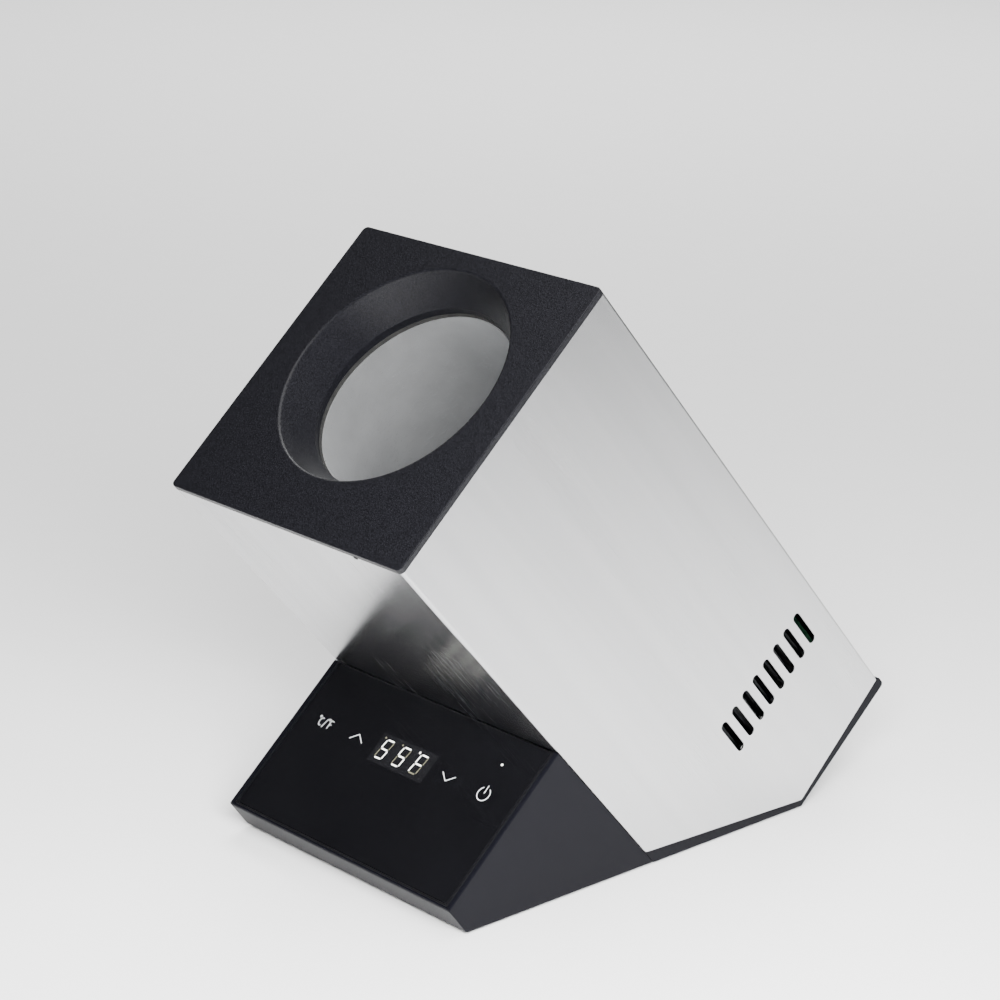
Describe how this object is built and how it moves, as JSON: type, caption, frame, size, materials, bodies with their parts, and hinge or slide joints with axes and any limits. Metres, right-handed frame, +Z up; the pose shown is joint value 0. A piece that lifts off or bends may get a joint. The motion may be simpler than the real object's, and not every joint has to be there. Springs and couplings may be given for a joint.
{
  "type": "wine cooler",
  "caption": "Countertop thermoelectric wine cooler: slanted square steel barrel with a round bottle well, fan-cooled, on a black base with a glass touch panel wedge",
  "frame": {"origin": "bottom centre of the bounding box, on the plane the rubber feet stand on", "axes": "+Z up; +X across the cooler; -Y is the front, where the barrel's mouth overhangs the touch panel; +Y is the back"},
  "size_m": [0.1506, 0.322, 0.2777],
  "materials": {
    "brushed_stainless": "satin",
    "black_textured_plastic": "matte",
    "base_plastic": "matte",
    "bezel_plastic": "satin",
    "black_glass": "gloss",
    "black_rubber": "matte",
    "bare_aluminium": "satin",
    "black_anodised": "matte",
    "white_foam": "matte",
    "module_ceramic": "satin",
    "chassis_plastic": "matte",
    "zinc_steel": "satin",
    "bracket_steel": "satin",
    "fan_plastic": "satin",
    "bearing_brass": "satin",
    "stator_laminations": "satin",
    "circuit_board": "satin",
    "component_black": "satin",
    "connector_nylon": "satin",
    "copper_winding": "gloss",
    "sensor_epoxy": "gloss",
    "ribbon_cable": "satin"
  },
  "bodies": {
    "housing": {"base_screws": "zinc_steel", "base_tray": "base_plastic", "board_connectors": "connector_nylon", "bottle_pad": "black_rubber", "capacitors": "component_black", "chassis_plate": "chassis_plastic", "choke": "copper_winding", "clamp_screws": "zinc_steel", "cold_block": "bare_aluminium", "dc_jack": "component_black", "display_module": "component_black", "fan_bearing": "bearing_brass", "fan_frame": "fan_plastic", "fan_screws": "zinc_steel", "fan_stator": "stator_laminations", "foam_base": "white_foam", "foam_sleeve": "white_foam", "front_brackets": "bracket_steel", "heat_sink": "black_anodised", "mouth_gasket": "black_rubber", "panel_bezel": "bezel_plastic", "panel_glass": "black_glass", "panel_ribbon": "ribbon_cable", "peltier_module": "module_ceramic", "power_board": "circuit_board", "rubber_feet": "black_rubber", "steel_shell": "brushed_stainless", "temperature_sensor": "sensor_epoxy", "tie_screws": "zinc_steel", "top_cap": "black_textured_plastic", "touch_board": "circuit_board", "touch_springs": "zinc_steel", "wedge_housing": "base_plastic", "wedge_screws": "zinc_steel", "well_liner": "bare_aluminium"},
    "fan_rotor": {"fan_rotor": "fan_plastic"}
  },
  "joints": [
    {"name": "fan_spin", "type": "hinge", "parent": "housing", "child": "fan_rotor", "pos_m": [0, 0.08774, 0.0436], "axis": [0, -0.682, 0.7314], "continuous": true}
  ]
}
